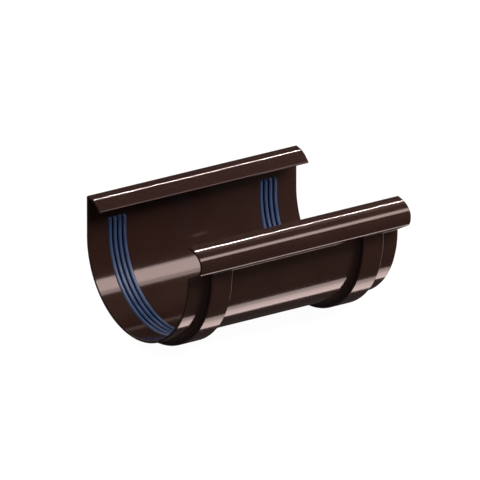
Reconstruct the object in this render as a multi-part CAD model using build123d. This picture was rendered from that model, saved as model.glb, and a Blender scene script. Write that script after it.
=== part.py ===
from build123d import *
import os
from math import cos, radians, sin

# All sizes are in millimetres. X runs along the gutter, the front bead is at -Y, +Z is up.
# Section sizes are measured from the centre of the trough's half circle.

# The trough
length = 197.0
outer_radius = 65.0
wall = 1.9
# The back rim: how far each point of its outer side lies in from the trough's side, and its height
back_corner = (0.0, 33.6)
back_crease = (8.6, 31.3)
back_bend = (12.5, 28.8)
back_lip_end = (17.5, 23.8)
back_corner_radius = 2.0
back_crease_radius = 8.0
back_bend_radius = 5.0
# The front rim: how far each point of its outer side lies out from the trough's side, and its height
front_root = (0.0, 1.0)
front_low_edge = (14.4, 8.4)
front_flank_low = (16.4, 12.6)
front_flank_high = (16.4, 17.4)
front_fold = (14.4, 21.4)
front_brow = (10.6, 24.6)
front_crease = (7.0, 26.3)
front_land_end = (0.0, 28.1)
front_root_radius = 1.2
front_low_radius = 4.0
front_flank_radius = 4.0
front_fold_radius = 8.0
front_brow_radius = 5.0
front_crease_radius = 10.0
free_edge_round = 0.5
# The seal bands on the outside, from each end
band_start = 17.2
band_end = 37.0
band_step = 5.6
band_edge_bevel = 0.6
cove_run = 3.4
cove_rise = 3.6
cove_steps = 5
band_back_top_z = 18.5
band_back_slope = 5.6
band_front_cover = 1.2
# The seal grooves on the inside
groove_wall = 1.6
groove_back_top_z = 12.2
groove_front_top_z = 0.4
# The seals
rib_count = 4
rib_gap = 1.5
rib_height = 2.2
rib_bevel = 0.7
rib_runout = 2.4
seal_proud = 0.9

# Sizes that follow from the ones above
inner_radius = outer_radius - wall
band_radius = outer_radius + band_step
groove_radius = inner_radius + band_step
groove_start = band_start + groove_wall
groove_end = band_end - groove_wall
seal_radius = inner_radius - seal_proud
to_left_end = Pos(-length / 2, 0, 0)
front_reach = outer_radius + front_flank_low[0]
on_floor = Pos(0, (front_reach - band_radius) / 2, band_radius)


def on_back(point):
    """A point of the back rim in Y and Z."""
    return (outer_radius - point[0], point[1])


def on_front(point):
    """A point of the front rim in Y and Z."""
    return (-outer_radius - point[0], point[1])


def section_face():
    """The outer side of the trough and both rims as one line, thickened towards the inside."""
    back = FilletPolyline(
        on_back(back_lip_end),
        on_back(back_bend),
        on_back(back_crease),
        on_back(back_corner),
        (outer_radius, 0.0),
        radius=[back_bend_radius, back_crease_radius, back_corner_radius],
    )
    trough = CenterArc((0, 0), outer_radius, 0, -180)
    front = FilletPolyline(
        (-outer_radius, 0.0),
        on_front(front_root),
        on_front(front_low_edge),
        on_front(front_flank_low),
        on_front(front_flank_high),
        on_front(front_fold),
        on_front(front_brow),
        on_front(front_crease),
        on_front(front_land_end),
        radius=[
            front_root_radius,
            front_low_radius,
            front_flank_radius,
            front_flank_radius,
            front_fold_radius,
            front_brow_radius,
            front_crease_radius,
        ],
    )
    line = Wire([*back.edges(), *trough.edges(), *front.edges()])
    face = Face(line.offset_2d(wall, side=Side.RIGHT, closed=True))
    tips = []
    for tip in (on_back(back_lip_end), on_front(front_land_end)):
        tips.extend(face.vertices().sort_by_distance(Vector(*tip, 0))[:2])
    return face.fillet_2d(free_edge_round, tips)


def swept(profile, back_top_z, front_top_z):
    """Sweep a profile of X and radius down the back wall, round the half circle and up the front."""
    down = Line((0, outer_radius, back_top_z), (0, outer_radius, 0))
    under = ThreePointArc((0, outer_radius, 0), (0, 0, -outer_radius), (0, -outer_radius, 0))
    up = Line((0, -outer_radius, 0), (0, -outer_radius, front_top_z))
    return sweep(Pos(0, 0, back_top_z) * profile, path=Wire([down, under, up]))


def cove(edge_x, way):
    """The hollow foot of a band as short flats on a quarter ellipse, from the tube to the step."""
    turns = [i * 90 / cove_steps for i in range(cove_steps + 1)]
    across = [edge_x + way * cove_run * (1 - sin(radians(t))) for t in turns]
    out = [outer_radius + cove_rise * (1 - cos(radians(t))) for t in turns]
    return list(zip(across, out))


def band_profile():
    """The outside of one band: a step with hollow feet and slightly blunted edges."""
    low = outer_radius - wall / 2
    shoulder = band_radius - band_edge_bevel
    points = [
        (band_start - cove_run, low),
        *cove(band_start, -1),
        (band_start, shoulder),
        (band_start + band_edge_bevel, band_radius),
        (band_end - band_edge_bevel, band_radius),
        (band_end, shoulder),
        *reversed(cove(band_end, 1)),
        (band_end + cove_run, low),
    ]
    return make_face(Polyline(*points, close=True))


def groove_profile():
    """The space inside one band that holds the seal."""
    low = inner_radius - wall
    points = [
        (groove_start, low),
        (groove_start, groove_radius),
        (groove_end, groove_radius),
        (groove_end, low),
    ]
    return make_face(Polyline(*points, close=True))


def seal_profile():
    """One seal: a strip on the groove's floor with ribs standing towards the gutter."""
    rib = (groove_end - groove_start - (rib_count - 1) * rib_gap) / rib_count
    floor = seal_radius + rib_height
    blunt = seal_radius + rib_bevel
    points = [(groove_start, groove_radius)]
    for i in range(rib_count):
        left = groove_start + i * (rib + rib_gap)
        right = left + rib
        points.extend([(left, blunt), (left + rib_bevel, seal_radius)])
        points.extend([(right - rib_bevel, seal_radius), (right, blunt)])
        if i < rib_count - 1:
            points.extend([(right, floor), (right + rib_gap, floor)])
    points.append((groove_end, groove_radius))
    return make_face(Polyline(*points, close=True))


def across_cut(points):
    """A block along the whole part whose outline in Y and Z is given."""
    return extrude(Plane.YZ * make_face(Polyline(*points, close=True)), amount=length)


def rim_cut():
    """Everything above the middle of the front ledge, where the bands have to stop."""
    slope = (front_low_edge[1] - front_root[1]) / front_low_edge[0]
    start = front_root[1] + band_front_cover
    inner = -wall / 2
    outer = 2 * band_step
    points = [
        on_front((inner, start + slope * inner)),
        on_front((outer, start + slope * outer)),
        on_front((outer, outer_radius)),
        on_front((inner, outer_radius)),
    ]
    return across_cut(points)


def shoulder_cut():
    """What is taken off a band's top on the back wall, so that it slopes into the wall."""
    points = [
        (outer_radius, band_back_top_z),
        (outer_radius + 2 * band_step, band_back_top_z - 2 * band_back_slope),
        (outer_radius + 2 * band_step, outer_radius),
        (outer_radius, outer_radius),
    ]
    return across_cut(points)


def rib_end_cut(side, top_z):
    """What is taken off the ribs' ends, so that they run out into the floor of the seal."""
    floor = seal_radius + rib_height
    points = [
        (side * floor, top_z),
        (side * seal_radius, top_z - rib_runout),
        (side * (seal_radius - wall), top_z - rib_runout),
        (side * (seal_radius - wall), top_z + wall),
        (side * floor, top_z + wall),
    ]
    return across_cut(points)


def body():
    """The whole moulding, with its middle at x = 0."""
    trough = extrude(Plane.YZ * section_face(), amount=length / 2, both=True)
    band = swept(band_profile(), band_back_top_z, front_low_edge[1])
    band = to_left_end * (band - rim_cut() - shoulder_cut())
    groove = to_left_end * swept(groove_profile(), groove_back_top_z, groove_front_top_z)
    outside = trough + band + mirror(band, about=Plane.YZ)
    return outside - groove - mirror(groove, about=Plane.YZ)


def seal():
    """The left seal, in the same place as its groove."""
    strip = swept(seal_profile(), groove_back_top_z, groove_front_top_z)
    strip = strip - rib_end_cut(1, groove_back_top_z) - rib_end_cut(-1, groove_front_top_z)
    return to_left_end * strip


connector_body = on_floor * body()
seal_left = on_floor * seal()
seal_right = mirror(seal_left, about=Plane.YZ)

os.makedirs("parts", exist_ok=True)
export_step(connector_body, "parts/connector_body.step")
export_step(seal_left, "parts/seal_left.step")
export_step(seal_right, "parts/seal_right.step")
for shape in (connector_body, seal_left, seal_right):
    print(shape.is_valid, len(shape.solids()), round(shape.volume), shape.bounding_box())
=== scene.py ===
import math

import bpy
from mathutils import Matrix, Vector

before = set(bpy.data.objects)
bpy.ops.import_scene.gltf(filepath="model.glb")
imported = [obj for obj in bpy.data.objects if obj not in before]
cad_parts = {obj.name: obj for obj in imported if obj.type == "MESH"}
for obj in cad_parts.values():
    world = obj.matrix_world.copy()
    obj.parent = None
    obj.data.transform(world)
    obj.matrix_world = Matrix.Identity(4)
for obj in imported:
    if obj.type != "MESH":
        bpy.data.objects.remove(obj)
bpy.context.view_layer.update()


# The moulding: trough, seal bands, back lip and front bead hook
# One injection-moulded piece of rigid PVC, coloured dark brown right through. It has its
# gloss from the polished mould, and the gloss varies a little from place to place.
def linear(hex_colour):
    """An sRGB hex colour as the linear values that a shader takes."""
    parts = [int(hex_colour[i : i + 2], 16) / 255 for i in (1, 3, 5)]
    return [c / 12.92 if c <= 0.04045 else ((c + 0.055) / 1.055) ** 2.4 for c in parts] + [1.0]


def node(tree, kind, settings=(), **links):
    """Add a node, set its inputs and properties, and link what is given by socket name."""
    made = tree.nodes.new(kind)
    for name, value in settings:
        if name in made.inputs:
            made.inputs[name].default_value = value
        else:
            setattr(made, name, value)
    for name, source in links.items():
        tree.links.new(source, made.inputs[name.replace("_", " ")])
    return made


def plain_material(name):
    """An empty node material and its tree."""
    made = bpy.data.materials.new(name)
    made.use_nodes = True
    made.node_tree.nodes.clear()
    return made, made.node_tree


def noise(tree, place, scale, detail):
    """Soft noise over the piece itself; its patches are about 1 / scale metres across."""
    settings = [("Scale", scale), ("Detail", detail)]
    return node(tree, "ShaderNodeTexNoise", settings, Vector=place.outputs["Object"])


def two_tones(tree, pattern, dark, light):
    """A noise pattern as a drift between two hex colours."""
    made = node(tree, "ShaderNodeValToRGB", Fac=pattern.outputs["Fac"])
    for stop, position, colour in zip(made.color_ramp.elements, (0.3, 0.7), (dark, light)):
        stop.position = position
        stop.color = linear(colour)
    return made


def dress(names, material):
    """Give the named pieces of the frame one material."""
    for name in names:
        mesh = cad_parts[name].data
        mesh.materials.clear()
        mesh.materials.append(material)


plastic, tree = plain_material("brown_pvc")
place = node(tree, "ShaderNodeTexCoord")
# Pigment is mixed into the melt, so the tone drifts by a hair over some 30 mm.
tone = two_tones(tree, noise(tree, place, 33.0, 2.0), "#382824", "#3c2c26")
# The mould's polish varies, so the gloss does too, over about 5 mm.
polish = noise(tree, place, 220.0, 3.0)
gloss = node(
    tree,
    "ShaderNodeMapRange",
    [("To Min", 0.08), ("To Max", 0.12)],
    Value=polish.outputs["Fac"],
)
# Fine grain of the mould's surface, about 0.5 mm across and a few microns deep.
grain = noise(tree, place, 1800.0, 2.0)
# No edge of a moulding is sharp: about 0.6 mm of rounding is shaded onto them.
edge = node(tree, "ShaderNodeBevel", [("samples", 6), ("Radius", 0.0006)])
relief = node(
    tree,
    "ShaderNodeBump",
    [("Strength", 0.12), ("Distance", 0.00002)],
    Height=grain.outputs["Fac"],
    Normal=edge.outputs["Normal"],
)
shade = node(
    tree,
    "ShaderNodeBsdfPrincipled",
    [("IOR", 1.53)],
    Base_Color=tone.outputs["Color"],
    Roughness=gloss.outputs["Result"],
    Normal=relief.outputs["Normal"],
)
node(tree, "ShaderNodeOutputMaterial", Surface=shade.outputs["BSDF"])
dress(["connector_body"], plastic)


# The two seals
# Strips of blue rubber moulded with four ribs, pressed into the grooves inside the bands.
# Rubber is softer in its sheen than the plastic, and dust-free when new.
rubber, tree = plain_material("blue_rubber")
place = node(tree, "ShaderNodeTexCoord")
# A thin bloom lies on new rubber in patches of about 7 mm.
tone = two_tones(tree, noise(tree, place, 150.0, 3.0), "#435f8a", "#4c6995")
# Painted shade: down between the ribs, where the surface is shut in, the blue is darkened to a
# deep blue, and it is lightest on the ribs' tops.
shut_in = node(
    tree,
    "ShaderNodeAmbientOcclusion",
    [("samples", 8), ("only_local", True), ("Distance", 0.003)],
)
openness = node(
    tree,
    "ShaderNodeMapRange",
    [("From Min", 0.5), ("From Max", 0.85)],
    Value=shut_in.outputs["AO"],
)
# Painted shade: the deep blue #142c54 is mixed in where the grooves are shut in.
blue_with_painted_groove_shade = node(
    tree,
    "ShaderNodeMixRGB",
    [("Color1", linear("#142c54"))],
    Fac=openness.outputs["Result"],
    Color2=tone.outputs["Color"],
)
# Its sheen is wide and a little bluer than the lamps.
shade = node(
    tree,
    "ShaderNodeBsdfPrincipled",
    [
        ("Roughness", 0.42),
        ("IOR", 1.5),
        ("Specular IOR Level", 1.0),
        ("Specular Tint", linear("#c4dcff")),
    ],
    Base_Color=blue_with_painted_groove_shade.outputs["Color"],
)
node(tree, "ShaderNodeOutputMaterial", Surface=shade.outputs["BSDF"])
dress(["seal_left", "seal_right"], rubber)


# The floor and the room
# A plain white sheet under the part, in a dim room. The camera sees both as white, and the
# sheet keeps the part's soft shadow.
half_sheet = 6
corners = [(-1, -1), (1, -1), (1, 1), (-1, 1)]
floor_mesh = bpy.data.meshes.new("floor")
floor_mesh.from_pydata([(x * half_sheet, y * half_sheet, 0) for x, y in corners], [], [range(4)])
floor = bpy.data.objects.new("floor", floor_mesh)
bpy.context.collection.objects.link(floor)
paper, tree = plain_material("white_paper")
sheet = node(tree, "ShaderNodeBsdfDiffuse", [("Color", linear("#595959"))])
rays = node(tree, "ShaderNodeLightPath")
# What the sheet's own colour lacks to white is added where the camera looks at it.
level = node(
    tree,
    "ShaderNodeMapRange",
    [("To Min", 0.0), ("To Max", 0.97)],
    Value=rays.outputs["Is Camera Ray"],
)
glow = node(tree, "ShaderNodeEmission", Strength=level.outputs["Result"])
both = node(tree, "ShaderNodeAddShader")
tree.links.new(sheet.outputs["BSDF"], both.inputs[0])
tree.links.new(glow.outputs["Emission"], both.inputs[1])
node(tree, "ShaderNodeOutputMaterial", Surface=both.outputs["Shader"])
floor_mesh.materials.append(paper)
# The part's gloss and the lights below look through the sheet, so that it leaves no grey film.
floor.visible_glossy = False
floor.visible_shadow = False

world = bpy.data.worlds.new("studio")
bpy.context.scene.world = world
world.use_nodes = True
tree = world.node_tree
tree.nodes.clear()
rays = node(tree, "ShaderNodeLightPath")
way = node(tree, "ShaderNodeTexCoord")
height = node(tree, "ShaderNodeSeparateXYZ", Vector=way.outputs["Generated"])
# As light on the part it is soft and comes from above, brightest at the top.
dome = node(
    tree,
    "ShaderNodeMapRange",
    [("To Min", 0.04), ("To Max", 0.5)],
    Value=height.outputs["Z"],
)
# In the part's gloss it is nearly dark.
soft = node(tree, "ShaderNodeMapRange", [("To Max", 0.05)], Value=rays.outputs["Is Glossy Ray"])
tree.links.new(dome.outputs["Result"], soft.inputs["To Min"])
# Seen directly it is white.
seen = node(tree, "ShaderNodeMapRange", [("To Max", 1.0)], Value=rays.outputs["Is Camera Ray"])
tree.links.new(soft.outputs["Result"], seen.inputs["To Min"])
sky = node(tree, "ShaderNodeBackground", Strength=seen.outputs["Result"])
node(tree, "ShaderNodeOutputWorld", Surface=sky.outputs["Background"])


# The lights
# Long softboxes, as in a product studio: each gives one of the streaks along the part, or
# plain light without a streak of its own.
def softbox(name, towards, distance, size, watts, aim=(0, 0, 0.06), diffuse=True, gloss=True):
    """A rectangular light that faces the aim from a distance, with its long side along the part.

    Diffuse says whether it lights surfaces, and gloss whether it shows in their gloss.
    """
    data = bpy.data.lights.new(name, "AREA")
    data.shape = "RECTANGLE"
    data.size, data.size_y = size
    data.energy = watts
    data.color = linear("#ffe2dc")[:3]
    made = bpy.data.objects.new(name, data)
    bpy.context.collection.objects.link(made)
    way = Vector(towards).normalized()
    across = way.cross(Vector((1, 0, 0))).normalized()
    along = across.cross(way)
    made.matrix_world = Matrix((along, across * -1, way)).transposed().to_4x4()
    made.location = Vector(aim) + way * distance
    made.visible_camera = False
    made.visible_diffuse = diffuse
    made.visible_glossy = gloss
    return made


# The key stands high at the front right. Key and core give the wide streak inside the trough
# and its bright middle, and the fill adds light from the same place.
key_towards = (0.5635, -0.5258, 0.637)
softbox("key", key_towards, distance=1.4, size=(0.9, 0.50), watts=6.0)
softbox("key_fill", key_towards, distance=1.42, size=(0.9, 0.50), watts=7.0, gloss=False)
softbox("key_core", (0.5635, -0.55, 0.617), distance=1.38, size=(0.9, 0.34), watts=3.0)
# The same streak carried on to the left, which shows in other views.
key_left_towards = (-0.37, -0.536, 0.629)
softbox("key_left", key_left_towards, distance=1.4, size=(1.5, 0.46), watts=7, diffuse=False)
# Behind the part and high up: the fine bright lines on the rims' creases. It is sampled
# directly and isn't passed on from one face to the next.
crest_towards = (0.58, 0.308, 0.767)
crest = softbox("crest", crest_towards, distance=3.0, size=(0.42, 0.21), watts=17, diffuse=False)
crest.data.cycles.max_bounces = 0
crest.data.cycles.use_multiple_importance_sampling = False
# From below, through the sheet: the streak along the underside of the tube and the bands.
low_front = (0, -0.03, 0.04)
under_towards = (0.5635, 0.010, -0.82)
softbox("under", under_towards, distance=1.2, size=(0.34, 0.37), watts=1.08, aim=low_front)
core_towards = (0.5635, 0.064, -0.82)
softbox("under_core", core_towards, distance=1.19, size=(0.34, 0.24), watts=0.34, aim=low_front)
# Plain light on the underside.
softbox(
    "under_fill",
    (0.45, -0.50, -0.70),
    distance=1.3,
    size=(1.2, 1.2),
    watts=7,
    aim=(0, 0, 0.04),
    gloss=False,
)
# From the right and below: the fine lines on the bands' far edges.
softbox(
    "side",
    (0.93, 0.15, -0.33),
    distance=1.2,
    size=(0.5, 0.5),
    watts=6,
    aim=low_front,
    diffuse=False,
)
# From behind, low enough not to reach the front: plain light on the back wall, and a streak
# on it that shows in views from there.
softbox("back", (0.0, 0.93, 0.36), distance=1.5, size=(2.2, 0.8), watts=16, gloss=False)
softbox("back_left", (-0.5, 0.81, 0.31), distance=1.5, size=(1.2, 0.8), watts=9, diffuse=False)
# A little plain light from the left and below, and from low at the front right.
softbox("left_fill", (-0.75, -0.35, -0.45), distance=1.4, size=(1.0, 1.0), watts=1, gloss=False)
softbox("fill", (0.5, -0.86, 0.1), distance=1.6, size=(1.0, 1.0), watts=1, gloss=False)


# The camera
# It stands far off with a long lens, at the part's left end, at the front and above, and
# looks at a point close to the middle of the trough's centre line.
azimuth = math.radians(-36.65)
elevation = math.radians(19.26)
distance = 12.0
towards = Vector(
    (
        math.sin(azimuth) * math.cos(elevation),
        -math.cos(azimuth) * math.cos(elevation),
        math.sin(elevation),
    )
)
side = Vector((math.cos(azimuth), math.sin(azimuth), 0))
up = towards.cross(side)
trough_centre = Vector((0, 0.0054, 0.0706))
shift_left = 0.00181
shift_down = 0.00500
aim = trough_centre - side * shift_left - up * shift_down
camera_data = bpy.data.cameras.new("camera")
camera_data.sensor_width = 36
# From that distance the picture is 0.364 m wide.
camera_data.lens = 1187.4
camera_data.clip_end = 50
camera = bpy.data.objects.new("camera", camera_data)
bpy.context.collection.objects.link(camera)
camera.location = aim + towards * distance
camera.rotation_euler = towards.to_track_quat("Z", "Y").to_euler()
bpy.context.scene.camera = camera
bpy.context.scene.view_settings.view_transform = "Standard"
